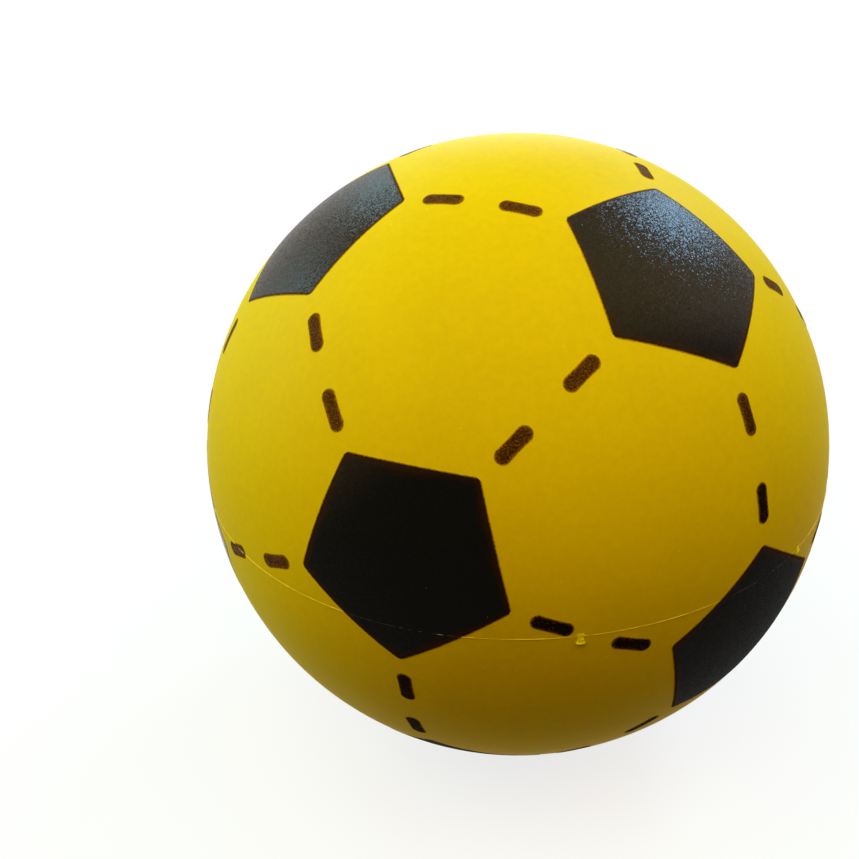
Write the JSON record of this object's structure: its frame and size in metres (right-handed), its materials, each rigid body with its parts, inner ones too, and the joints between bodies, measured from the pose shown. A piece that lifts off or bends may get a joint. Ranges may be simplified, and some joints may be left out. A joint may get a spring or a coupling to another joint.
{
  "type": "soft soccer ball",
  "caption": "Round moulded-foam ball with a dense yellow skin, a fine parting line and printed black pentagons joined by seam dashes, for soft indoor kicking and throwing games.",
  "frame": {"origin": "the middle of the ball", "axes": "+Z along the mould axis, square to the parting line, up; -Y towards the side that the picture shows; the parting line lies on the XY plane"},
  "size_m": [0.2004, 0.2004, 0.2],
  "materials": {
    "skin": "satin",
    "flash": "satin",
    "foam": "matte",
    "pentagon_ink": "satin",
    "dash_ink": "satin"
  },
  "bodies": {
    "root": {"foam_core": "foam", "upper_skin": "skin", "lower_skin": "skin", "parting_flash": "flash", "vent_nub_1": "flash", "vent_nub_2": "flash", "pentagon_upper_cap_1": "pentagon_ink", "pentagon_upper_cap_2": "pentagon_ink", "pentagon_upper_cap_3": "pentagon_ink", "pentagon_upper_belt_1": "pentagon_ink", "pentagon_upper_belt_2": "pentagon_ink", "pentagon_upper_belt_3": "pentagon_ink", "pentagon_lower_belt_1": "pentagon_ink", "pentagon_lower_belt_2": "pentagon_ink", "pentagon_lower_belt_3": "pentagon_ink", "pentagon_lower_cap_1": "pentagon_ink", "pentagon_lower_cap_2": "pentagon_ink", "pentagon_lower_cap_3": "pentagon_ink", "seam_dashes_01": "dash_ink", "seam_dashes_02": "dash_ink", "seam_dashes_03": "dash_ink", "seam_dashes_04": "dash_ink", "seam_dashes_05": "dash_ink", "seam_dashes_06": "dash_ink", "seam_dashes_07": "dash_ink", "seam_dashes_08": "dash_ink", "seam_dashes_09": "dash_ink", "seam_dashes_10": "dash_ink", "seam_dashes_11": "dash_ink", "seam_dashes_12": "dash_ink", "seam_dashes_13": "dash_ink", "seam_dashes_14": "dash_ink", "seam_dashes_15": "dash_ink", "seam_dashes_16": "dash_ink", "seam_dashes_17": "dash_ink", "seam_dashes_18": "dash_ink", "seam_dashes_19": "dash_ink", "seam_dashes_20": "dash_ink", "seam_dashes_21": "dash_ink", "seam_dashes_22": "dash_ink", "seam_dashes_23": "dash_ink", "seam_dashes_24": "dash_ink", "seam_dashes_25": "dash_ink", "seam_dashes_26": "dash_ink", "seam_dashes_27": "dash_ink", "seam_dashes_28": "dash_ink", "seam_dashes_29": "dash_ink", "seam_dashes_30": "dash_ink"}
  },
  "joints": []
}
